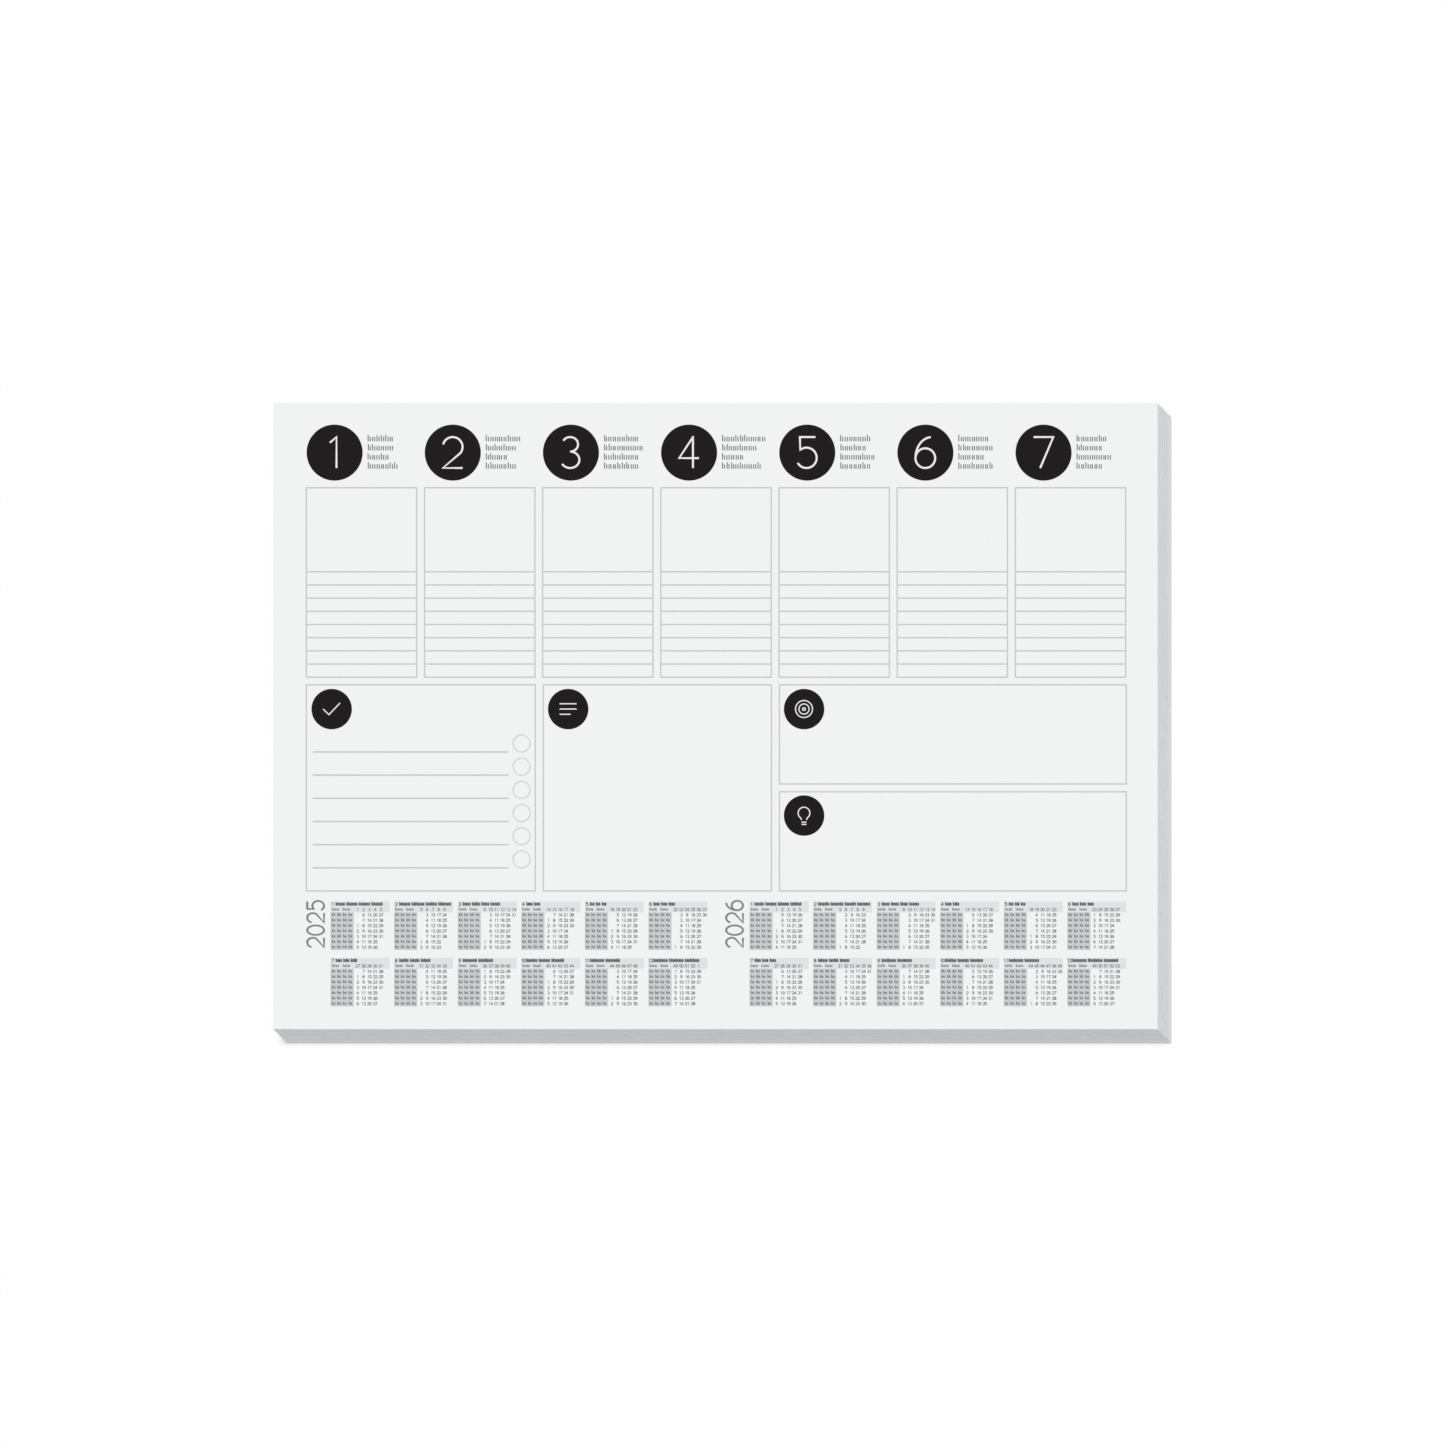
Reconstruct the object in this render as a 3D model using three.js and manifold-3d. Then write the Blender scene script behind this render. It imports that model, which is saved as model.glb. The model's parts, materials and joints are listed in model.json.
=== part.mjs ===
// Desk pad: a block of A3 planner sheets, glued along its head edge to each other and to a pale board.
// Millimetres, +Z up, +X along the long side of the sheets, +Y towards the glued head edge.
// The origin is on the table, under the middle of the pad.

import * as THREE from 'three';
import { mergeVertices } from 'three/addons/utils/BufferGeometryUtils.js';
import Module from 'manifold-3d';

// Sheets
const SHEET_WIDTH = 420; // A3 landscape, left to right
const SHEET_DEPTH = 297; // A3 landscape, foot edge to head edge
const SHEET_COUNT = 52; // one sheet for each week of a year
const SHEET_THICKNESS = 0.11; // 90 g/m2 offset paper
const EDGE_WANDER = 0.04; // how far the sheets' edges wander inside the trim line
const EDGE_LEDGE = 0.02; // the least that a sheet's edge stands out from, or back from, the next

// Backing board
const BOARD_THICKNESS = 1.2; // pale grey board

// Film of padding glue on the head edge
const GLUE_THICKNESS = 0.5; // at the middle of the film
const GLUE_RIM_THICKNESS = 0.25; // where it thins out at the top sheet and at the board's back
const GLUE_CURVE_STEPS = 12; // an even number, so that one point lies on the crown

// Worked out from the sizes above
const BLOCK_HEIGHT = SHEET_COUNT * SHEET_THICKNESS;
const HALF_WIDTH = SHEET_WIDTH / 2;
const GOLDEN_STEP = (Math.sqrt(5) - 1) / 2; // multiples of it, less their whole part, never bunch up

const wasm = await Module();
wasm.setup();

const paper = new THREE.MeshStandardMaterial({ color: 0xf1f3f2, roughness: 0.9, metalness: 0 });
const paleBoard = new THREE.MeshStandardMaterial({ color: 0xdedfdd, roughness: 0.95, metalness: 0 });
const driedGlue = new THREE.MeshStandardMaterial({ color: 0xe9e6da, roughness: 0.45, metalness: 0 });

// How far the edge of one sheet stays inside the trim line, on the side that starts at this phase.
// Every other sheet stays back further than both its neighbours, so that each one leaves a ledge.
function shyness(sheet, phase) {
  const wander = EDGE_WANDER * ((sheet * GOLDEN_STEP + phase) % 1);
  const isSetBack = sheet % 2 === 1;
  return isSetBack ? EDGE_WANDER + EDGE_LEDGE + wander : wander;
}

// An upright rectangle in X and Z.
function rectangle(left, right, bottom, top) {
  return new THREE.Shape([
    new THREE.Vector2(left, bottom),
    new THREE.Vector2(right, bottom),
    new THREE.Vector2(right, top),
    new THREE.Vector2(left, top),
  ]);
}

// Stands an outline drawn in X and Z upright and runs it forward, along -Y, from y = back.
function extrudeAlongDepth(outline, length, back) {
  const standUpright = new THREE.Matrix4().makeBasis(
    new THREE.Vector3(1, 0, 0),
    new THREE.Vector3(0, 0, 1),
    new THREE.Vector3(0, -1, 0),
  );
  return new THREE.ExtrudeGeometry(outline, { depth: length, bevelEnabled: false })
    .applyMatrix4(standUpright)
    .translate(0, back, 0);
}

// Stands an outline drawn in Y and Z upright and runs it along X, with its middle at x = 0.
function extrudeAlongWidth(outline, length, curveSegments) {
  const standUpright = new THREE.Matrix4().makeBasis(
    new THREE.Vector3(0, 1, 0),
    new THREE.Vector3(0, 0, 1),
    new THREE.Vector3(1, 0, 0),
  );
  return new THREE.ExtrudeGeometry(outline, { depth: length, bevelEnabled: false, curveSegments })
    .applyMatrix4(standUpright)
    .translate(-length / 2, 0, 0);
}

function solidFromGeometry(geometry) {
  const bare = geometry.clone();
  bare.deleteAttribute('normal');
  bare.deleteAttribute('uv');
  const merged = mergeVertices(bare);
  return new wasm.Manifold(
    new wasm.Mesh({
      numProp: 3,
      vertProperties: merged.attributes.position.array,
      triVerts: new Uint32Array(merged.index.array),
    }),
  );
}

function geometryFromSolid(solid) {
  const { vertProperties, triVerts } = solid.getMesh();
  const geometry = new THREE.BufferGeometry()
    .setAttribute('position', new THREE.BufferAttribute(vertProperties, 3))
    .setIndex(new THREE.BufferAttribute(triVerts, 1))
    .toNonIndexed();
  geometry.computeVertexNormals();
  return geometry;
}

function trimmedSheet(sheet) {
  const head = -shyness(sheet, 0);
  const left = -HALF_WIDTH + shyness(sheet, 0.25);
  const foot = -SHEET_DEPTH + shyness(sheet, 0.5);
  const right = HALF_WIDTH - shyness(sheet, 0.75);
  const outline = rectangle(left, right, sheet * SHEET_THICKNESS, (sheet + 1) * SHEET_THICKNESS);
  return solidFromGeometry(extrudeAlongDepth(outline, head - foot, head));
}

// The sheets lie on each other as one solid, whose sides step in and out from sheet to sheet
// by the little that trimmed sheets do.
function sheetBlock() {
  let block = trimmedSheet(0);
  for (let sheet = 1; sheet < SHEET_COUNT; sheet += 1) {
    block = block.add(trimmedSheet(sheet));
  }
  const mesh = new THREE.Mesh(geometryFromSolid(block), paper);
  mesh.name = 'sheet_block';
  return mesh;
}

// The board is trimmed together with the sheets, to the same outline.
function backingBoard() {
  const outline = rectangle(-HALF_WIDTH, HALF_WIDTH, -BOARD_THICKNESS, 0);
  const mesh = new THREE.Mesh(extrudeAlongDepth(outline, SHEET_DEPTH, 0), paleBoard);
  mesh.name = 'backing_board';
  return mesh;
}

// The glue dries to a rubbery film over the head of the sheets and of the board, thickest in the middle.
function headGlue() {
  const middle = (BLOCK_HEIGHT - BOARD_THICKNESS) / 2;
  const crownControl = 2 * GLUE_THICKNESS - GLUE_RIM_THICKNESS;
  const section = new THREE.Shape();
  section.moveTo(0, -BOARD_THICKNESS);
  section.lineTo(GLUE_RIM_THICKNESS, -BOARD_THICKNESS);
  section.quadraticCurveTo(crownControl, middle, GLUE_RIM_THICKNESS, BLOCK_HEIGHT);
  section.lineTo(0, BLOCK_HEIGHT);
  section.closePath();
  const mesh = new THREE.Mesh(extrudeAlongWidth(section, SHEET_WIDTH, GLUE_CURVE_STEPS), driedGlue);
  mesh.name = 'head_glue';
  return mesh;
}

// The pieces meet at y = 0 and z = 0 of this inner group, which stands them on the table
// with the pad's outer box centred over the origin.
const padded = new THREE.Group();
padded.position.set(0, (SHEET_DEPTH - GLUE_THICKNESS) / 2, BOARD_THICKNESS);
padded.add(sheetBlock(), backingBoard(), headGlue());

const deskPad = new THREE.Group();
deskPad.add(padded);

export default deskPad;
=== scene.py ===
"""A desk pad of planner sheets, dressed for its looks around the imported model.

Blender's units are metres. The pad lies on the floor with its printed page up, +X runs to the
right of the page and +Y towards its glued head edge.
"""
import calendar
import datetime
import json
import math
import random
from collections import namedtuple

import bmesh
import bpy
from mathutils import Matrix, Vector, noise

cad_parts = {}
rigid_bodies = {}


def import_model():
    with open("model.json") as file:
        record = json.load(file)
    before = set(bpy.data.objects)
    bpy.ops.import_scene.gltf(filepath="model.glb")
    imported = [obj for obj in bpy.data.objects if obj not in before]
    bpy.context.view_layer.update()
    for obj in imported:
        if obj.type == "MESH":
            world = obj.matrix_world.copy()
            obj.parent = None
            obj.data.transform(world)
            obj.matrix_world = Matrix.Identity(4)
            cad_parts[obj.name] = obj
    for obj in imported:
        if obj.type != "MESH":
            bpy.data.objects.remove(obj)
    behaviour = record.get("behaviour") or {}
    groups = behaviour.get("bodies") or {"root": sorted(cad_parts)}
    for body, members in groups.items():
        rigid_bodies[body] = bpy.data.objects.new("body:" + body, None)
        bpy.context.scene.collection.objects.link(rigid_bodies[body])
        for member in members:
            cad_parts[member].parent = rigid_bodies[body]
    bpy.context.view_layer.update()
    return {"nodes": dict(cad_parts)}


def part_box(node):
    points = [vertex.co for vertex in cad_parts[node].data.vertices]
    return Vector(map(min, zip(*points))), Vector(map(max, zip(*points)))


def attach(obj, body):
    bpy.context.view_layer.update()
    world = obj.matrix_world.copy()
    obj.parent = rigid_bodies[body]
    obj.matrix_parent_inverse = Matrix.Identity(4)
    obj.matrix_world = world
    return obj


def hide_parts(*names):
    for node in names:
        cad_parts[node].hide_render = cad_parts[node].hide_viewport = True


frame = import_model()

# The camera
# The page is seen square on, and the pad's thickness leans away to the lower right, as in a parallel
# drawing. A long lens whose line of sight is slanted while its picture stays level gives that view.

FRAME_PIXELS = 1445
PAGE_LEFT_PIXEL = 272.8
PAGE_RIGHT_PIXEL = 1157.4
PAGE_HEAD_PIXEL = 403.5
THICKNESS_PIXELS = 14.55  # how far the pad's bottom is seen right of its page, and below it
LENS = 1000  # mm

board_low, board_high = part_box("backing_board")
page_left, page_right = board_low.x, board_high.x
page_foot, page_head = board_low.y, board_high.y
page_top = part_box("sheet_block")[1].z

metres_per_pixel = (page_right - page_left) / (PAGE_RIGHT_PIXEL - PAGE_LEFT_PIXEL)
lean = THICKNESS_PIXELS * metres_per_pixel / page_top
picture_centre = Vector(
    (
        page_left + (FRAME_PIXELS / 2 - PAGE_LEFT_PIXEL) * metres_per_pixel,
        page_head - (FRAME_PIXELS / 2 - PAGE_HEAD_PIXEL) * metres_per_pixel,
        page_top,
    )
)

lens_data = bpy.data.cameras.new("camera")
lens_data.lens = LENS
slant = Vector((lean, -lean, 1)).normalized()
distance = FRAME_PIXELS * metres_per_pixel * LENS / lens_data.sensor_width
slanted_axes = Matrix.Identity(4)
slanted_axes.col[2] = slant.to_4d()
slanted_axes.col[2][3] = 0
slanted_axes.translation = picture_centre + slant * distance

stand = bpy.data.objects.new("camera_stand", None)
camera = bpy.data.objects.new("camera", lens_data)
bpy.context.collection.objects.link(stand)
bpy.context.collection.objects.link(camera)
camera.parent = stand
camera.matrix_parent_inverse = slanted_axes
bpy.context.scene.camera = camera

# The sheets
# 52 sheets of matt white offset paper, all trimmed to one size on a guillotine. Each sheet's edges
# wander by a few hundredths of a millimetre, and a hair of air stays between one sheet and the next.

MM = 0.001
SHEET_COUNT = 52
EDGE_WANDER = 0.04 * MM
EDGE_LEDGE = 0.02 * MM
GOLDEN_STEP = (math.sqrt(5) - 1) / 2  # multiples of it, less their whole part, never bunch up
HEAD_PHASE, LEFT_PHASE, FOOT_PHASE, RIGHT_PHASE = 0, 0.25, 0.5, 0.75
AIR_SHARE = 0.06  # of the pitch from sheet to sheet
INK_BUILD = 0.06 * MM
PAPER_WHITE = (241, 243, 242)
# Painted light: the sheet edges get this lighter, bluer white in place of the paper's own, which lifts
# the shaded sides and gives them a cool cast.
EDGE_WHITE_PAINTED_LIGHT = (245, 245, 249)
PAPER_BRIGHTEST = 1.015
CLOUD_SCALE = 260  # per metre, as the scale of every pattern here is
CLOUD_SHADE = 0.02
FIBRE_SCALE = 5200
FIBRE_SHADE = 0.01
FIBRE_RELIEF = 0.02 * MM
SHEET_SHADE = 0.04


def linear(colour):
    """A colour of 0 to 255 per channel as the linear values that a shader takes."""
    channels = [value / 255 for value in colour]
    curved = [c / 12.92 if c <= 0.04045 else ((c + 0.055) / 1.055) ** 2.4 for c in channels]
    return (*curved, 1)


def add_node(tree, kind, inputs, **settings):
    """Adds a node. Its inputs go by the sockets' names or numbers, and each is a value or a socket."""
    node = tree.nodes.new(kind)
    for key, value in settings.items():
        setattr(node, key, value)
    for key, value in inputs.items():
        if isinstance(value, bpy.types.NodeSocket):
            tree.links.new(value, node.inputs[key])
        else:
            node.inputs[key].default_value = value
    return node


def calculate(tree, operation, first, second=0.0):
    """The result of one sum on two numbers or sockets."""
    return add_node(tree, "ShaderNodeMath", {0: first, 1: second}, operation=operation).outputs[0]


def combined(tree, x, y, z):
    """A vector of three numbers or sockets."""
    return add_node(tree, "ShaderNodeCombineXYZ", {"X": x, "Y": y, "Z": z}).outputs[0]


def new_geometry_tree(name, sizes):
    """A geometry tree with the named inputs, given as pairs of name and socket type."""
    tree = bpy.data.node_groups.new(name, "GeometryNodeTree")
    tree.interface.new_socket("Geometry", in_out="INPUT", socket_type="NodeSocketGeometry")
    for label, kind in sizes:
        tree.interface.new_socket(label, in_out="INPUT", socket_type=kind)
    tree.interface.new_socket("Geometry", in_out="OUTPUT", socket_type="NodeSocketGeometry")
    return tree, tree.nodes.new("NodeGroupInput").outputs, tree.nodes.new("NodeGroupOutput").inputs


def made_by_tree(name, mesh, tree, values):
    """A plain mesh piece: what the tree makes of the mesh with these input values."""
    piece = bpy.data.objects.new(name, mesh)
    bpy.context.collection.objects.link(piece)
    modifier = piece.modifiers.new("maker", "NODES")
    modifier.node_group = tree
    for item in tree.interface.items_tree:
        if item.in_out == "INPUT" and item.name in values:
            modifier[item.identifier] = values[item.name]
    bpy.context.view_layer.update()
    evaluated = piece.evaluated_get(bpy.context.evaluated_depsgraph_get())
    result = bpy.data.meshes.new_from_object(evaluated)
    piece.modifiers.clear()
    piece.data = result
    result.name = name
    return piece


def finish_tree(tree, instances, given, made):
    """Ends a geometry tree: the instances become real mesh and take the given material."""
    real = add_node(tree, "GeometryNodeRealizeInstances", {"Geometry": instances}).outputs[0]
    dressed = add_node(
        tree, "GeometryNodeSetMaterial", {"Geometry": real, "Material": given["Material"]}
    ).outputs[0]
    tree.links.new(dressed, made["Geometry"])


def stacked_sheets_tree():
    """Lays one slab for each sheet, with its four edges set back by the rule of the trimmed block."""
    tree, given, made = new_geometry_tree(
        "stacked_sheets",
        [
            ("Count", "NodeSocketInt"),
            ("Pitch", "NodeSocketFloat"),
            ("Paper Thickness", "NodeSocketFloat"),
            ("Left", "NodeSocketFloat"),
            ("Right", "NodeSocketFloat"),
            ("Foot", "NodeSocketFloat"),
            ("Head", "NodeSocketFloat"),
            ("Bottom", "NodeSocketFloat"),
            ("Wander", "NodeSocketFloat"),
            ("Ledge", "NodeSocketFloat"),
            ("Material", "NodeSocketMaterial"),
        ],
    )
    index = tree.nodes.new("GeometryNodeInputIndex").outputs[0]
    spiral = calculate(tree, "MULTIPLY", index, GOLDEN_STEP)
    is_set_back = calculate(tree, "MODULO", index, 2)
    set_back = calculate(
        tree, "MULTIPLY", is_set_back, calculate(tree, "ADD", given["Wander"], given["Ledge"])
    )

    def shyness(phase):
        """How far a sheet's edge stays inside the trim line, on the side that starts at this phase."""
        turn = calculate(tree, "FRACT", calculate(tree, "ADD", spiral, phase))
        return calculate(tree, "ADD", calculate(tree, "MULTIPLY", turn, given["Wander"]), set_back)

    head = calculate(tree, "SUBTRACT", given["Head"], shyness(HEAD_PHASE))
    left = calculate(tree, "ADD", given["Left"], shyness(LEFT_PHASE))
    foot = calculate(tree, "ADD", given["Foot"], shyness(FOOT_PHASE))
    right = calculate(tree, "SUBTRACT", given["Right"], shyness(RIGHT_PHASE))
    height = calculate(
        tree, "ADD", given["Bottom"],
        calculate(tree, "MULTIPLY", calculate(tree, "ADD", index, 0.5), given["Pitch"]),
    )
    middle_x = calculate(tree, "MULTIPLY", calculate(tree, "ADD", left, right), 0.5)
    middle_y = calculate(tree, "MULTIPLY", calculate(tree, "ADD", foot, head), 0.5)
    width = calculate(tree, "SUBTRACT", right, left)
    depth = calculate(tree, "SUBTRACT", head, foot)
    middle = combined(tree, middle_x, middle_y, height)
    size = combined(tree, width, depth, given["Paper Thickness"])
    line = add_node(tree, "GeometryNodeMeshLine", {"Count": given["Count"]}).outputs[0]
    places = add_node(
        tree, "GeometryNodeSetPosition", {"Geometry": line, "Position": middle}
    ).outputs[0]
    slab = tree.nodes.new("GeometryNodeMeshCube").outputs["Mesh"]
    slabs = add_node(
        tree, "GeometryNodeInstanceOnPoints", {"Points": places, "Instance": slab, "Scale": size}
    ).outputs[0]
    finish_tree(tree, slabs, given, made)
    return tree


def mottling(tree, place, scale, detail, distortion=0.0):
    """Natural noise over the surface, from 0 to 1."""
    inputs = {"Vector": place, "Scale": scale, "Detail": detail, "Distortion": distortion}
    return add_node(tree, "ShaderNodeTexNoise", inputs).outputs[0]


def raise_surface(tree, shader, height, strength, distance):
    """Gives the shader a relief."""
    inputs = {"Strength": strength, "Distance": distance, "Height": height}
    bump = add_node(tree, "ShaderNodeBump", inputs).outputs[0]
    tree.links.new(bump, shader.inputs["Normal"])


def blended(tree, amount, first, second):
    """A colour between two, each a value or a socket. The node's colour sockets go by number, since
    it has others of the same names."""
    inputs = {0: amount, 6: first, 7: second}
    return add_node(tree, "ShaderNodeMix", inputs, data_type="RGBA").outputs[2]


def new_material(name, roughness, gloss):
    """A named material: its node tree, its shader and the place that its patterns read."""
    material = bpy.data.materials.new(name)
    material.use_nodes = True
    tree = material.node_tree
    shader = tree.nodes["Principled BSDF"]
    shader.inputs["Roughness"].default_value = roughness
    shader.inputs["Specular IOR Level"].default_value = gloss
    place = tree.nodes.new("ShaderNodeTexCoord").outputs["Object"]
    return material, tree, shader, place


def paper_fibres(tree, place):
    """The fine fibres of the paper, which the ink on it shows too."""
    return mottling(tree, place, scale=FIBRE_SCALE, detail=3, distortion=1.2)


def paper_material(pitch, bottom):
    """Matt paper: soft clouds and fine fibres in its face, and each sheet's own tone at the edges. The
    edges also take a lighter, bluer white than the face, which is painted light: it lifts the shaded
    sides and gives them a cool cast.
    """
    material, tree, shader, place = new_material("paper", roughness=0.92, gloss=0.15)
    clouds = mottling(tree, place, scale=CLOUD_SCALE, detail=4)
    fibres = paper_fibres(tree, place)
    height = add_node(tree, "ShaderNodeSeparateXYZ", {"Vector": place}).outputs["Z"]
    sheet = calculate(
        tree, "FLOOR", calculate(tree, "DIVIDE", calculate(tree, "SUBTRACT", height, bottom), pitch)
    )
    tone = add_node(
        tree, "ShaderNodeTexWhiteNoise", {"W": sheet}, noise_dimensions="1D"
    ).outputs["Value"]
    facing = tree.nodes.new("ShaderNodeNewGeometry").outputs["Normal"]
    normal = add_node(tree, "ShaderNodeSeparateXYZ", {"Vector": facing}).outputs["Z"]
    is_edge = calculate(tree, "SUBTRACT", 1, calculate(tree, "ABSOLUTE", normal))
    edge_tone = calculate(tree, "MULTIPLY", calculate(tree, "MULTIPLY", tone, is_edge), SHEET_SHADE)
    cloud_tone = calculate(tree, "MULTIPLY", clouds, CLOUD_SHADE)
    fibre_tone = calculate(tree, "MULTIPLY", fibres, FIBRE_SHADE)
    shade = calculate(
        tree, "SUBTRACT", PAPER_BRIGHTEST,
        calculate(tree, "ADD", calculate(tree, "ADD", cloud_tone, fibre_tone), edge_tone),
    )
    # The side faces take the edge white, a painted light that lifts them and cools them, while the
    # face keeps the paper's own white.
    tint_with_painted_edge_light = blended(tree, is_edge, linear(PAPER_WHITE), linear(EDGE_WHITE_PAINTED_LIGHT))
    colour = add_node(
        tree, "ShaderNodeVectorMath", {0: tint_with_painted_edge_light, "Scale": shade}, operation="SCALE"
    ).outputs[0]
    tree.links.new(colour, shader.inputs["Base Color"])
    raise_surface(tree, shader, fibres, strength=0.25, distance=FIBRE_RELIEF)
    return material


block_bottom = board_high.z
sheet_pitch = (page_top - INK_BUILD - block_bottom) / SHEET_COUNT
paper = paper_material(sheet_pitch, block_bottom)
sheets = made_by_tree(
    "planner_sheets",
    bpy.data.meshes.new("seed"),
    stacked_sheets_tree(),
    {
        "Count": SHEET_COUNT,
        "Pitch": sheet_pitch,
        "Paper Thickness": sheet_pitch * (1 - AIR_SHARE),
        "Left": page_left,
        "Right": page_right,
        "Foot": page_foot,
        "Head": page_head,
        "Bottom": block_bottom,
        "Wander": EDGE_WANDER,
        "Ledge": EDGE_LEDGE,
        "Material": paper,
    },
)
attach(sheets, "root")
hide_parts("sheet_block")
paper_top = page_top - INK_BUILD - sheet_pitch * AIR_SHARE / 2

# The backing board
# A stiff pale board made of recycled pulp, with small darker flecks. It is trimmed together with the
# sheets and keeps the model's own solid, so only its finish is made here.

BOARD_TONES = ((237, 238, 239), (246, 246, 248))
PULP_SCALE = 700
PULP_RELIEF = 0.05 * MM
FLECK_SCALE = 1500
FLECK_START, FLECK_FULL = 0.66, 0.72  # where in the noise a fleck begins, and where it is darkest
FLECK_COVER = 0.5
FLECK_GREY = (150, 148, 143)


def board_material():
    """Recycled board: a pale pulp with scattered flecks and a felted surface."""
    material, tree, shader, place = new_material("pale_board", roughness=0.95, gloss=0.1)
    pulp = mottling(tree, place, scale=PULP_SCALE, detail=6)
    flecks = mottling(tree, place, scale=FLECK_SCALE, detail=2, distortion=2)
    fleck_inputs = {
        "Value": flecks, "From Min": FLECK_START, "From Max": FLECK_FULL, "To Max": FLECK_COVER
    }
    fleck_amount = add_node(tree, "ShaderNodeMapRange", fleck_inputs).outputs[0]
    base = blended(tree, pulp, *(linear(tone) for tone in BOARD_TONES))
    flecked = blended(tree, fleck_amount, base, linear(FLECK_GREY))
    tree.links.new(flecked, shader.inputs["Base Color"])
    raise_surface(tree, shader, pulp, strength=0.4, distance=PULP_RELIEF)
    return material


board = frame["nodes"]["backing_board"]
board.data.materials.clear()
board.data.materials.append(board_material())

# The padding glue
# A white water-based glue brushed over the head edge in two coats. It dries to a rubbery film that
# holds the sheets and the board together, and keeps the brush's long strokes and a slight gloss.

GLUE_MIDDLE = 0.5 * MM
GLUE_RIM = 0.25 * MM
GLUE_UNEVEN = 0.09 * MM
GLUE_SOAK = 0.1 * MM
GLUE_STATIONS = 300
GLUE_ROWS = 12
GLUE_SHARP_ANGLE = 0.7  # radians
GLUE_TONES = ((240, 240, 236), (248, 248, 245))
BRUSH_SCALE = 2600
BRUSH_DRAG = (0.03, 1, 1)  # draws the strokes out along the edge
PIT_SCALE = 900
PIT_SHARE = 0.4
GLUE_RELIEF = 0.05 * MM
STROKE_WAVES = (22, 9)  # waves per metre along the edge, and over the film's height
STROKE_DEPTH = 0.8
LUMP_WAVES = (120, 4)
LUMP_DEPTH = 0.4
LUMP_LAYER = 7  # a part of the noise that the strokes don't use


def glue_material():
    """Dried glue: long brush strokes along the edge, and small pits."""
    material, tree, shader, place = new_material("padding_glue", roughness=0.42, gloss=0.5)
    along = add_node(tree, "ShaderNodeMapping", {"Vector": place, "Scale": BRUSH_DRAG}).outputs[0]
    strokes = mottling(tree, along, scale=BRUSH_SCALE, detail=3)
    pits = mottling(tree, place, scale=PIT_SCALE, detail=2)
    tone = blended(tree, strokes, *(linear(tone) for tone in GLUE_TONES))
    tree.links.new(tone, shader.inputs["Base Color"])
    relief = calculate(tree, "ADD", strokes, calculate(tree, "MULTIPLY", pits, PIT_SHARE))
    raise_surface(tree, shader, relief, strength=0.3, distance=GLUE_RELIEF)
    return material


def glue_depth(x, rise):
    """How thick the film is at a place along the edge and at a share of its height."""
    long_strokes = noise.noise(Vector((x * STROKE_WAVES[0], rise * STROKE_WAVES[1], 0)))
    short_lumps = noise.noise(Vector((x * LUMP_WAVES[0], rise * LUMP_WAVES[1], LUMP_LAYER)))
    thinning = min(max(0.5 + STROKE_DEPTH * long_strokes + LUMP_DEPTH * short_lumps, 0), 1)
    crown = (GLUE_MIDDLE - GLUE_RIM) * 4 * rise * (1 - rise)
    return GLUE_RIM + crown - GLUE_UNEVEN * thinning


def glue_film():
    """The film along the head edge: a crowned strip, thinned here and there by the brush. It soaks in
    between the sheets as far as the shyest of them, and not into the board."""
    low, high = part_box("head_glue")
    inside = low.y - GLUE_SOAK
    back = ((inside, high.z), (inside, block_bottom), (low.y, block_bottom), (low.y, low.z))
    maker = bmesh.new()
    sections = []
    for station in range(GLUE_STATIONS + 1):
        x = low.x + (high.x - low.x) * station / GLUE_STATIONS
        section = [maker.verts.new((x, y, z)) for y, z in back]
        for row in range(GLUE_ROWS + 1):
            rise = row / GLUE_ROWS
            y = low.y + glue_depth(x, rise)
            section.append(maker.verts.new((x, y, low.z + (high.z - low.z) * rise)))
        sections.append(section)
    for here, there in zip(sections, sections[1:]):
        for corner in range(len(here)):
            following = (corner + 1) % len(here)
            maker.faces.new((here[corner], here[following], there[following], there[corner]))
    maker.faces.new(sections[0])
    maker.faces.new(sections[-1])
    bmesh.ops.recalc_face_normals(maker, faces=maker.faces)
    for face in maker.faces:
        face.smooth = True
    for edge in maker.edges:
        edge.smooth = edge.calc_face_angle() < GLUE_SHARP_ANGLE
    mesh = bpy.data.meshes.new("glue_film")
    maker.to_mesh(mesh)
    maker.free()
    return mesh


glue = bpy.data.objects.new("glue_film", glue_film())
bpy.context.collection.objects.link(glue)
glue.data.materials.append(glue_material())
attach(glue, "root")
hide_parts("head_glue")

# The ruled boxes
# Thin grey rules are printed round seven day columns and round the four boxes below them, and eight
# run across each day column. Ink is laid here as thin plates, in two layers within the pad's height.
# Places on the page are in mm from its left and head edges, and so are the sizes of what is printed.

FILL_BUILD = 0.03 * MM
SINK = 0.01 * MM  # how far ink reaches into what it is printed on
INK_LAY_SCALE = 1900
PLATE, DISC = 0, 1  # the numbers of the plain shapes
DISC_SEGMENTS = 96
RULE_WIDTH = 0.55
RULE_GREY = (198, 200, 201)
DAY_COUNT = 7
DAY_LEFT = 15.9
DAY_PITCH = 56.1
DAY_WIDTH = 52.4
DAY_TOP = 39.95
DAY_FIRST_RULE = 79.85
DAY_BOTTOM = 129.9
DAY_RULE_COUNT = 8
LOWER_BOXES = (  # left, top, right and bottom
    (15.86, 133.5, 124.6, 231.4),
    (128.4, 133.5, 236.7, 231.4),
    (240.5, 133.5, 405.2, 180.6),
    (240.5, 184.3, 405.2, 231.4),
)

Mark = namedtuple("Mark", "x y width height shape turn", defaults=(PLATE, 0))

ink_bottom = paper_top - SINK
fill_top = paper_top + FILL_BUILD
line_top = page_top


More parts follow.
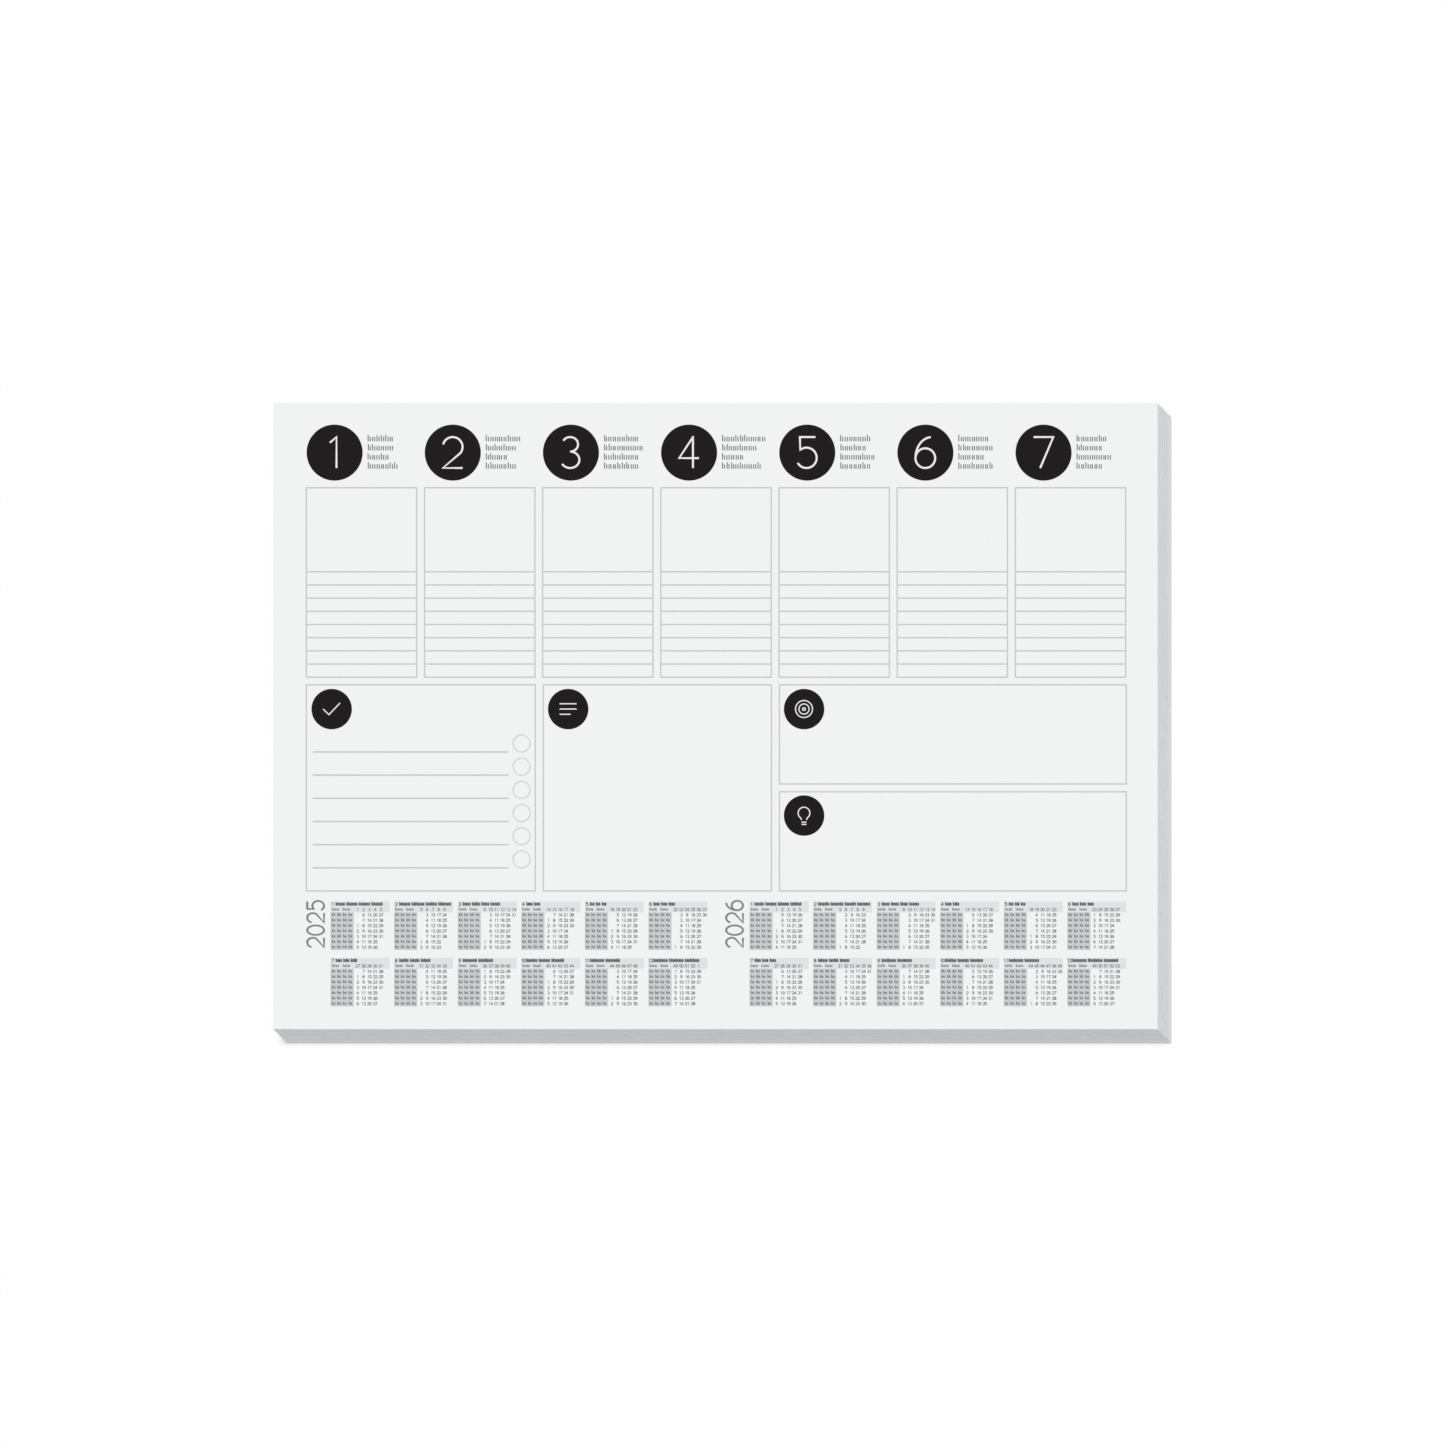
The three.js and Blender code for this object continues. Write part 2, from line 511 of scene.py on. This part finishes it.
def ink_material(name, tones, roughness, gloss=0.2):
    """Offset ink: a fine uneven lay over the paper's grain, between the two tones given."""
    material, tree, shader, place = new_material(name, roughness=roughness, gloss=gloss)
    lay = mottling(tree, place, scale=INK_LAY_SCALE, detail=4, distortion=0.4)
    colour = blended(tree, lay, *(linear(tone) for tone in tones))
    tree.links.new(colour, shader.inputs["Base Color"])
    raise_surface(tree, shader, paper_fibres(tree, place), strength=0.15, distance=FIBRE_RELIEF)
    return material


def tone_pair(colour, spread):
    """Two tones, a little darker and a little lighter than the colour."""
    return tuple(tuple(channel + side * spread for channel in colour) for side in (-1, 1))


def shape_mesh(name, maker):
    """Turns what was drawn into a mesh with its faces outwards."""
    bmesh.ops.recalc_face_normals(maker, faces=maker.faces)
    mesh = bpy.data.meshes.new(name)
    maker.to_mesh(mesh)
    maker.free()
    return mesh


def plate_shape():
    """A plate, 1 by 1 by 1, standing on its middle."""
    maker = bmesh.new()
    bmesh.ops.create_cube(maker, size=1, matrix=Matrix.Translation((0, 0, 0.5)))
    return shape_mesh("plate", maker)


def disc_shape():
    """A disc of diameter 1 and height 1, standing on its middle."""
    maker = bmesh.new()
    bmesh.ops.create_cone(
        maker, cap_ends=True, segments=DISC_SEGMENTS, radius1=0.5, radius2=0.5, depth=1,
        matrix=Matrix.Translation((0, 0, 0.5)),
    )
    return shape_mesh("disc", maker)


def shape_set(name, meshes):
    """A collection of drawn shapes. A mark picks one of them by its number."""
    collection = bpy.data.collections.new(name)
    for number, mesh in enumerate(meshes):
        collection.objects.link(bpy.data.objects.new(f"{name}_{number:02d}", mesh))
    return collection


def printed_marks_tree():
    """Puts one shape of the set on each point, with the point's own size and turn."""
    tree, given, made = new_geometry_tree(
        "printed_marks",
        [("Shapes", "NodeSocketCollection"), ("Material", "NodeSocketMaterial")],
    )

    def carried(name, kind):
        """What each point carries under this name."""
        node = add_node(tree, "GeometryNodeInputNamedAttribute", {"Name": name}, data_type=kind)
        return node.outputs["Attribute"]

    shapes = tree.nodes.new("GeometryNodeCollectionInfo")
    shapes.inputs["Separate Children"].default_value = True
    shapes.inputs["Reset Children"].default_value = True
    tree.links.new(given["Shapes"], shapes.inputs["Collection"])
    turn = combined(tree, 0, 0, carried("turn", "FLOAT"))
    rotation = add_node(tree, "FunctionNodeEulerToRotation", {"Euler": turn}).outputs[0]
    marks = add_node(
        tree,
        "GeometryNodeInstanceOnPoints",
        {
            "Points": given["Geometry"],
            "Instance": shapes.outputs[0],
            "Pick Instance": True,
            "Instance Index": carried("shape", "INT"),
            "Rotation": rotation,
            "Scale": carried("size", "FLOAT_VECTOR"),
        },
    ).outputs[0]
    finish_tree(tree, marks, given, made)
    return tree


def printed(name, marks, shapes, material, bottom, top):
    """Prints marks as one piece. A mark has the place of its middle and its width and height in mm,
    the number of its shape in the set, and its turn in degrees."""
    places = [(page_left + mark.x * MM, page_head - mark.y * MM, bottom) for mark in marks]
    thickness = top - bottom
    sizes = [size for mark in marks for size in (mark.width * MM, mark.height * MM, thickness)]
    points = bpy.data.meshes.new(name)
    points.from_pydata(places, [], [])
    # All three are added before any is filled, because adding one moves the others' data.
    for label, kind in (("size", "FLOAT_VECTOR"), ("shape", "INT"), ("turn", "FLOAT")):
        points.attributes.new(label, kind, "POINT")
    points.attributes["size"].data.foreach_set("vector", sizes)
    points.attributes["shape"].data.foreach_set("value", [mark.shape for mark in marks])
    points.attributes["turn"].data.foreach_set("value", [math.radians(mark.turn) for mark in marks])
    piece = made_by_tree(name, points, marks_tree, {"Shapes": shapes, "Material": material})
    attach(piece, "root")


def across(left, right, y, thickness):
    """The mark of a level rule."""
    return Mark((left + right) / 2, y, right - left, thickness)


def box_rules(left, top, right, bottom, thickness):
    """The marks of a box's four rules, which meet at its corners without overlap."""
    half = thickness / 2
    middle = (top + bottom) / 2
    height = bottom - top - thickness
    return [
        across(left - half, right + half, top, thickness),
        across(left - half, right + half, bottom, thickness),
        Mark(left, middle, thickness, height),
        Mark(right, middle, thickness, height),
    ]


marks_tree = printed_marks_tree()
plain_shapes = shape_set("plain_shapes", [plate_shape(), disc_shape()])
rule_ink = ink_material("rule_ink", tone_pair(RULE_GREY, spread=5), roughness=0.85)

rules = []
rule_pitch = (DAY_BOTTOM - DAY_FIRST_RULE) / DAY_RULE_COUNT
for day in range(DAY_COUNT):
    left = DAY_LEFT + day * DAY_PITCH
    right = left + DAY_WIDTH
    rules += box_rules(left, DAY_TOP, right, DAY_BOTTOM, RULE_WIDTH)
    for row in range(DAY_RULE_COUNT):
        y = DAY_FIRST_RULE + row * rule_pitch
        rules.append(across(left + RULE_WIDTH / 2, right - RULE_WIDTH / 2, y, RULE_WIDTH))
for left, top, right, bottom in LOWER_BOXES:
    rules += box_rules(left, top, right, bottom, RULE_WIDTH)
printed("ruled_boxes", rules, plain_shapes, rule_ink, ink_bottom, line_top)

# The list of things to do
# Six writing lines in the left lower box, each with a ring to tick at its right end. The rings are
# thinner and a little fainter than the lines.

LIST_LEFT = 18.85
LIST_RIGHT = 111.9
LIST_FIRST = 165.4
LIST_PITCH = 11.0
LIST_COUNT = 6
LIST_LINE_WIDTH = 0.6
RING_X = 118.1
RING_FIRST = 161.4
RING_DIAMETER = 8.1
RING_WIDTH = 0.5
RING_GREY = (208, 210, 211)
RING_STEP = 5  # degrees
MITRE_LIMIT = 1.6
LINE_STEP_DOWN = 0.04  # of the shape's height


def square(x, y, size, shape=0):
    """The mark of a shape that is as wide as it is high."""
    return Mark(x, y, size, size, shape)


def arc(centre_x, centre_y, radius_x, radius_y, start, end, step):
    """Points along part of an ellipse, from one angle to another, in degrees."""
    count = max(2, math.ceil(abs(end - start) / step))
    angles = [math.radians(start + (end - start) * i / count) for i in range(count + 1)]
    return [(centre_x + radius_x * math.cos(a), centre_y + radius_y * math.sin(a)) for a in angles]


def ring_line(centre_x, centre_y, radius_x, radius_y, step):
    """Points round a whole ellipse, the last one next to the first."""
    return arc(centre_x, centre_y, radius_x, radius_y, 0, 360, step)[:-1]


def add_ribbon(maker, points, width, height, is_closed):
    """Draws a line of the pen as a strip of this width and height, mitred at its bends."""
    count = len(points)
    middles = [Vector(point) for point in points]
    rungs = []
    for place, middle in enumerate(middles):
        before = middles[place - 1] if place or is_closed else middle
        after = middles[(place + 1) % count] if place < count - 1 or is_closed else middle
        arriving = (middle - before).normalized()
        leaving = (after - middle).normalized()
        along = (arriving + leaving).normalized()
        side = Vector((-along.y, along.x))
        straight = arriving if arriving.length else leaving
        mitre = 1 / max(abs(along.dot(straight)), 1 / MITRE_LIMIT)
        reach = side * (width / 2 * mitre)
        left, right = middle + reach, middle - reach
        corners = ((left, height), (right, height), (right, 0), (left, 0))
        rungs.append([maker.verts.new((corner.x, corner.y, z)) for corner, z in corners])
    for place in range(count if is_closed else count - 1):
        here, there = rungs[place], rungs[(place + 1) % count]
        for corner in range(4):
            following = (corner + 1) % 4
            maker.faces.new((here[corner], here[following], there[following], there[corner]))
    if not is_closed:
        maker.faces.new(rungs[0])
        maker.faces.new(rungs[-1])


def pen_shape(name, lines, width):
    """A shape drawn with a pen. Each line is its points and whether it closes on itself, and lies a
    little lower than the line before it, so that no two tops share a plane where lines cross."""
    maker = bmesh.new()
    for number, (points, is_closed) in enumerate(lines):
        add_ribbon(maker, points, width, 1 - number * LINE_STEP_DOWN, is_closed)
    return shape_mesh(name, maker)


ring_ink = ink_material("ring_ink", tone_pair(RING_GREY, spread=4), roughness=0.85)
ring_lines = [(ring_line(0, 0, 0.5, 0.5, RING_STEP), True)]
ring_shape = pen_shape("ring", ring_lines, RING_WIDTH / RING_DIAMETER)
ring_shapes = shape_set("ring_shapes", [ring_shape])
list_lines = []
list_rings = []
for row in range(LIST_COUNT):
    list_lines.append(across(LIST_LEFT, LIST_RIGHT, LIST_FIRST + row * LIST_PITCH, LIST_LINE_WIDTH))
    list_rings.append(square(RING_X, RING_FIRST + row * LIST_PITCH, RING_DIAMETER))
printed("list_lines", list_lines, plain_shapes, rule_ink, ink_bottom, line_top)
printed("list_rings", list_rings, ring_shapes, ring_ink, ink_bottom, line_top)

# The black discs
# A large solid black disc heads each day column, and a smaller one sits in the corner of each lower
# box. The ink lies full and matt, and the paper's grain still shows through it.

DISC_BLACK = (28, 24, 25)
DAY_DISC_X = 29.3
DAY_DISC_Y = 23.27
DAY_DISC_DIAMETER = 26.6
BOX_DISC_DIAMETER = 19.2
BOX_DISCS = ((27.9, 145.05), (140.2, 145.05), (252.2, 145.05), (252.2, 195.6))

black_ink = ink_material("black_ink", tone_pair(DISC_BLACK, spread=2), roughness=0.8, gloss=0.04)
day_discs = [(DAY_DISC_X + day * DAY_PITCH, DAY_DISC_Y) for day in range(DAY_COUNT)]
discs = [square(x, y, DAY_DISC_DIAMETER, DISC) for x, y in day_discs]
discs += [square(x, y, BOX_DISC_DIAMETER, DISC) for x, y in BOX_DISCS]
printed("black_discs", discs, plain_shapes, black_ink, ink_bottom, fill_top)

# The numbers and signs in the discs
# Thin lines left white in the black print: the number of the day in each large disc, and in the
# small ones a tick, a page of lines, a target and a lamp. They lie level with the other fine lines.

DISC_NUMBER_HEIGHT = 15.6
DISC_NUMBER_STROKE = 0.9
BOX_SIGN_SIZE = 9.6
BOX_SIGN_STROKE = 0.5
KNOCKED_OUT_WHITE = (238, 238, 239)
FINE_STEP = 6  # degrees


def numeral_lines(stroke, step):
    """The pen lines of the numerals 0 to 9, each 1 high and centred, for a pen of this width."""
    high = 0.5 - stroke / 2
    wide = 0.3
    small = 0.47 * high
    large = 0.53 * high
    bowl = -high + wide
    six_stem = arc(0.2, bowl, 0.2 + wide, high - bowl, 180, 94, step)
    return [
        [(ring_line(0, 0, wide, high, step), True)],
        [([(-0.14, high - 0.17), (0.06, high), (0.06, -high)], False)],
        [(arc(0, high - wide, wide, wide, 165, -38, step) + [(-wide, -high), (wide, -high)], False)],
        [
            (arc(-0.02, high - small, 0.24, small, 150, -90, step), False),
            (arc(-0.02, -high + large, 0.28, large, 90, -150, step), False),
        ],
        [
            ([(0.12, -high), (0.12, 0.5)], False),
            ([(0.12, high), (-wide, -0.17), (wide, -0.17)], False),
        ],
        [
            (
                [(wide - 0.05, high), (-wide + 0.08, high)]
                + arc(-0.02, -high + 0.31, 0.31, 0.31, 128, -150, step),
                False,
            )
        ],
        [(ring_line(0, bowl, wide, wide, step), True), (six_stem, False)],
        [([(-wide, high), (wide, high), (-0.1, -high)], False)],
        [
            (ring_line(0, high - small, 0.23, small, step), True),
            (ring_line(0, -high + large, 0.28, large, step), True),
        ],
        [
            (ring_line(0, -bowl, wide, wide, step), True),
            ([(-x, -y) for x, y in six_stem], False),
        ],
    ]


def numeral_set(name, stroke, step):
    """The ten numerals as a set of shapes, so that the number of a shape is its value."""
    meshes = [pen_shape(name, lines, stroke) for lines in numeral_lines(stroke, step)]
    return shape_set(name, meshes)


def sign_lines():
    """The pen lines of the four signs, each about 1 wide and centred."""
    tick = [([(-0.42, 0.0), (-0.13, -0.28), (0.42, 0.3)], False)]
    page = [([(-0.42, y), (end, y)], False) for y, end in ((0.26, 0.42), (0.0, 0.42), (-0.26, 0.12))]
    target = [(ring_line(0, 0, radius, radius, FINE_STEP), True) for radius in (0.42, 0.25, 0.07)]
    bulb = arc(0, 0.12, 0.29, 0.29, 236, -56, FINE_STEP)
    lamp = [([(-0.12, -0.22)] + bulb + [(0.12, -0.22)], False)]
    lamp_foot = [([(-0.12, y), (0.12, y)], False) for y in (-0.33, -0.44)]
    return [tick, page, target, lamp + lamp_foot]


white_print = ink_material("knocked_out_white", tone_pair(KNOCKED_OUT_WHITE, spread=2), roughness=0.9)
fine_numerals = numeral_set("fine_numerals", DISC_NUMBER_STROKE / DISC_NUMBER_HEIGHT, FINE_STEP)
sign_stroke = BOX_SIGN_STROKE / BOX_SIGN_SIZE
sign_meshes = [pen_shape("sign", lines, sign_stroke) for lines in sign_lines()]
sign_shapes = shape_set("sign_shapes", sign_meshes)
day_numbers = [square(x, y, DISC_NUMBER_HEIGHT, day) for day, (x, y) in enumerate(day_discs, start=1)]
box_signs = [square(x, y, BOX_SIGN_SIZE, sign) for sign, (x, y) in enumerate(BOX_DISCS)]
on_black = fill_top - SINK
printed("day_numbers", day_numbers, fine_numerals, white_print, on_black, line_top)
printed("box_signs", box_signs, sign_shapes, white_print, on_black, line_top)

# The years
# The two years stand beside the calendars, printed in a middle grey. Their numerals are thin ones of
# the same pen line as those in the discs, a little narrowed and turned to be read upwards.

YEARS = (2025, 2026)
YEAR_X = (20.3, 219.2)
YEAR_MIDDLE = 247.1
YEAR_HEIGHT = 8.9
YEAR_WIDTH = 7.5
YEAR_ADVANCE = 5.85
YEAR_STROKE = 0.95
YEAR_TURN = 90  # degrees
YEAR_GREY = (128, 128, 130)

year_ink = ink_material("year_ink", tone_pair(YEAR_GREY, spread=4), roughness=0.85)
year_numerals = numeral_set("year_numerals", YEAR_STROKE / YEAR_HEIGHT, FINE_STEP)
year_marks = []
for year, x in zip(YEARS, YEAR_X):
    digits = str(year)
    for place, digit in enumerate(digits):
        y = YEAR_MIDDLE - (place - (len(digits) - 1) / 2) * YEAR_ADVANCE
        year_marks.append(Mark(x, y, YEAR_WIDTH, YEAR_HEIGHT, int(digit), YEAR_TURN))
printed("years", year_marks, year_numerals, year_ink, ink_bottom, line_top)

# The small print beside the day discs
# Four short lines of small print stand beside each large disc, all in one dark grey ink. Each line is
# a row of upright strokes, of the height and the spacing of such print.

WORD_LEFT = 28.8
WORD_FIRST = 16.85
WORD_LINE_PITCH = 4.34
WORD_LENGTHS = (  # letters in the four lines of each day
    (6, 6, 5, 7),
    (8, 7, 5, 7),
    (8, 9, 8, 8),
    (10, 8, 5, 9),
    (7, 6, 8, 7),
    (7, 8, 6, 8),
    (7, 6, 8, 6),
)
WORD_GREY = (106, 106, 108)
FIRST_STROKE, SECOND_STROKE = 0.27, 0.73  # places of a letter's two strokes, as shares of its width
STROKE_SHIFT = 0.05
TALL_CHANCE = 0.18
STROKE_SEED = 7

Face = namedtuple("Face", "letter low tall stroke")
WORD_FACE = Face(letter=2.1, low=2.1, tall=3.0, stroke=0.42)

chance = random.Random(STROKE_SEED)


def stroke_words(left, middle, letters, face):
    """The marks of one run of small print: upright strokes, two to a letter. The face gives a letter's
    width, the heights of low and tall letters, and the width of a stroke."""
    marks = []
    for place in range(letters):
        for side in (FIRST_STROKE, SECOND_STROKE):
            is_tall = place == 0 or chance.random() < TALL_CHANCE
            height = face.tall if is_tall and side == FIRST_STROKE else face.low
            x = left + (place + side + chance.uniform(-STROKE_SHIFT, STROKE_SHIFT)) * face.letter
            marks.append(Mark(x, middle + face.low / 2 - height / 2, face.stroke, height))
    return marks


word_ink = ink_material("word_ink", tone_pair(WORD_GREY, spread=4), roughness=0.85)
word_marks = []
for day, lengths in enumerate(WORD_LENGTHS):
    left = DAY_LEFT + day * DAY_PITCH + WORD_LEFT
    for line, letters in enumerate(lengths):
        middle = WORD_FIRST + line * WORD_LINE_PITCH
        word_marks += stroke_words(left, middle, letters, WORD_FACE)
printed("day_small_print", word_marks, plain_shapes, word_ink, ink_bottom, line_top)

# The calendars
# Two rows of six months for each year. A pale bar carries the month and its week numbers, a grey field
# at the left carries the days' small print, and the dates stand in columns, one for each week.

MONTH_LEFT = (27.4, 226.3)
MONTH_PITCH = 30.18
MONTH_TOPS = (236.4, 263.2)
MONTHS_IN_ROW = 6
ROW_HEIGHT = 2.555
BAR_WIDTH = 28.0
BAR_ROWS = 2
FIELD_WIDTH = 10.97
FIELD_ROWS = 7  # one for each day of the week
WEEK_FIRST = 12.9
WEEK_PITCH = 2.763
FIELD_GREY = (203, 204, 206)
BAR_GREY = (224, 225, 227)
DATE_GREY = (62, 61, 63)
DATE_HEIGHT = 1.5
DATE_STROKE = 0.19
DATE_ADVANCE = 1.06
DATE_STEP = 45  # degrees, coarse since the numerals are so small
MONTH_NUMBER_HEIGHT = 1.75
MONTH_NUMBER_INDENT = 1.0
PRINT_INDENT = 0.45
LABEL_COUNT = 2
LABEL_PITCH = 5.2
LABEL_LETTERS = 4
DAY_NAME_COUNT = 4
DAY_NAME_PITCH = FIELD_WIDTH / 4.1  # a little under a quarter of the field
DAY_NAME_LETTERS = 2
SMALL_FACE = Face(letter=0.92, low=1.05, tall=1.5, stroke=0.21)
HEADING_GREY = (48, 46, 47)
HEADING_FACE = Face(letter=0.77, low=1.4, tall=1.8, stroke=0.27)
HEADING_INDENT = 2.35
HEADING_GAP = 0.7  # between two runs of print, in letters
HEADING_WORDS = (  # letters in each run of print beside a month's number
    (6, 7, 7, 7),
    (7, 8, 7, 8),
    (5, 5, 5, 6),
    (4, 4),
    (3, 3, 3),
    (4, 4, 4),
    (4, 4, 4),
    (6, 6, 6),
    (9, 9),
    (7, 7, 8),
    (9, 9),
    (9, 9, 9),
)


def digits_at(value, x, y, height, advance):
    """The marks of a whole number, centred at a place."""
    digits = str(value)
    start = x - (len(digits) - 1) / 2 * advance
    return [
        square(start + place * advance, y, height, int(digit)) for place, digit in enumerate(digits)
    ]


def month_dates(year, month):
    """Each date of a month as its column and row, with the number of the week that each column is."""
    first_weekday, length = calendar.monthrange(year, month)
    dates = []
    weeks = {}
    for date in range(1, length + 1):
        column, row = divmod(date - 1 + first_weekday, FIELD_ROWS)
        dates.append((date, column, row))
        weeks[column] = datetime.date(year, month, date).isocalendar()[1]
    return dates, weeks


field_ink = ink_material("field_ink", tone_pair(FIELD_GREY, spread=3), roughness=0.85)
bar_ink = ink_material("bar_ink", tone_pair(BAR_GREY, spread=2), roughness=0.85)
date_ink = ink_material("date_ink", tone_pair(DATE_GREY, spread=4), roughness=0.85)
heading_ink = ink_material("heading_ink", tone_pair(HEADING_GREY, spread=3), roughness=0.8, gloss=0.05)
small_numerals = numeral_set("small_numerals", DATE_STROKE / DATE_HEIGHT, DATE_STEP)
bold_numerals = numeral_set("bold_numerals", HEADING_FACE.stroke / MONTH_NUMBER_HEIGHT, DATE_STEP)

for year, year_left in zip(YEARS, MONTH_LEFT):
    fields = []
    bars = []
    dates = []
    small_print = []
    headings = []
    numbers = []
    for month, word_lengths in enumerate(HEADING_WORDS, start=1):
        band, place = divmod(month - 1, MONTHS_IN_ROW)
        left = year_left + place * MONTH_PITCH
        top = MONTH_TOPS[band]
        rows = [top + (row + 0.5) * ROW_HEIGHT for row in range(BAR_ROWS + FIELD_ROWS)]
        heading_row, week_row = rows[:BAR_ROWS]
        day_rows = rows[BAR_ROWS:]
        field_middle = (day_rows[0] + day_rows[-1]) / 2
        fields.append(
            Mark(left + FIELD_WIDTH / 2, field_middle, FIELD_WIDTH, FIELD_ROWS * ROW_HEIGHT)
        )
        bar_middle = (heading_row + week_row) / 2
        bars.append(Mark(left + BAR_WIDTH / 2, bar_middle, BAR_WIDTH, BAR_ROWS * ROW_HEIGHT))
        x = left + MONTH_NUMBER_INDENT
        numbers += digits_at(month, x, heading_row, MONTH_NUMBER_HEIGHT, DATE_ADVANCE)
        x = left + HEADING_INDENT
        for length in word_lengths:
            headings += stroke_words(x, heading_row, length, HEADING_FACE)
            x += (length + HEADING_GAP) * HEADING_FACE.letter
        for label in range(LABEL_COUNT):
            x = left + PRINT_INDENT + label * LABEL_PITCH
            small_print += stroke_words(x, week_row, LABEL_LETTERS, SMALL_FACE)
        for y in day_rows:
            for day_name in range(DAY_NAME_COUNT):
                x = left + PRINT_INDENT + day_name * DAY_NAME_PITCH
                small_print += stroke_words(x, y, DAY_NAME_LETTERS, SMALL_FACE)
        month_days, weeks = month_dates(year, month)
        for column, week in weeks.items():
            x = left + WEEK_FIRST + column * WEEK_PITCH
            dates += digits_at(week, x, week_row, DATE_HEIGHT, DATE_ADVANCE)
        for date, column, row in month_days:
            x = left + WEEK_FIRST + column * WEEK_PITCH
            dates += digits_at(date, x, day_rows[row], DATE_HEIGHT, DATE_ADVANCE)
    printed(f"calendar_fields_{year}", fields, plain_shapes, field_ink, ink_bottom, fill_top)
    printed(f"calendar_bars_{year}", bars, plain_shapes, bar_ink, ink_bottom, fill_top)
    for name, marks, shapes, ink in (
        ("dates", dates, small_numerals, date_ink),
        ("print", small_print, plain_shapes, date_ink),
        ("months", numbers, bold_numerals, heading_ink),
        ("headings", headings, plain_shapes, heading_ink),
    ):
        printed(f"calendar_{name}_{year}", marks, shapes, ink, ink_bottom, line_top)

# The drawn shapes were only patterns for the marks and stand in no scene, so they are taken out.
for shape in [thing for thing in bpy.data.objects if not thing.users_scene]:
    bpy.data.objects.remove(shape)

# The floor and the light
# A wide pale floor under a plain pale dome, which the camera sees as white, and one broad soft lamp
# high on the right, which leaves the right edge of the pad lighter than its foot edge.

FLOOR_REACH = 12  # m
FLOOR_GREY = (0.66, 0.66, 0.66, 1)
WHITE = (1, 1, 1, 1)
DOME_STRENGTH = 0.5
LAMP_STRENGTH = 1.66
LAMP_WIDTH = 40  # degrees
LAMP_FROM = (0.17, -0.03, 0.5)  # the way from the pad towards the lamp


def seen_or_glossy(tree):
    """1 for rays from the camera, and for those that a shiny or clear surface sends on."""
    path = tree.nodes.new("ShaderNodeLightPath").outputs
    shiny = calculate(tree, "MAXIMUM", path["Is Glossy Ray"], path["Is Transmission Ray"])
    return calculate(tree, "MAXIMUM", path["Is Camera Ray"], shiny)


floor_mesh = bpy.data.meshes.new("floor")
floor_maker = bmesh.new()
bmesh.ops.create_grid(floor_maker, x_segments=2, y_segments=2, size=FLOOR_REACH)
floor_maker.to_mesh(floor_mesh)
floor_maker.free()
floor = bpy.data.objects.new("floor", floor_mesh)
bpy.context.collection.objects.link(floor)
floor_material, floor_tree, floor_shader = new_material("floor", roughness=1, gloss=0)[:3]
floor_white = blended(floor_tree, seen_or_glossy(floor_tree), FLOOR_GREY, WHITE)
floor_tree.links.new(floor_white, floor_shader.inputs["Base Color"])
floor_mesh.materials.append(floor_material)

world = bpy.data.worlds.new("world")
world.use_nodes = True
bpy.context.scene.world = world
sky_tree = world.node_tree
background = sky_tree.nodes["Background"]
sky_rise = calculate(sky_tree, "MULTIPLY", seen_or_glossy(sky_tree), 1 - DOME_STRENGTH)
sky_strength = calculate(sky_tree, "ADD", DOME_STRENGTH, sky_rise)
background.inputs["Color"].default_value = WHITE
sky_tree.links.new(sky_strength, background.inputs["Strength"])

lamp_data = bpy.data.lights.new("lamp", "SUN")
lamp_data.energy = LAMP_STRENGTH
lamp_data.angle = math.radians(LAMP_WIDTH)
lamp = bpy.data.objects.new("lamp", lamp_data)
bpy.context.collection.objects.link(lamp)
lamp.rotation_euler = Vector(LAMP_FROM).to_track_quat("Z", "Y").to_euler()

bpy.context.scene.view_settings.view_transform = "Standard"
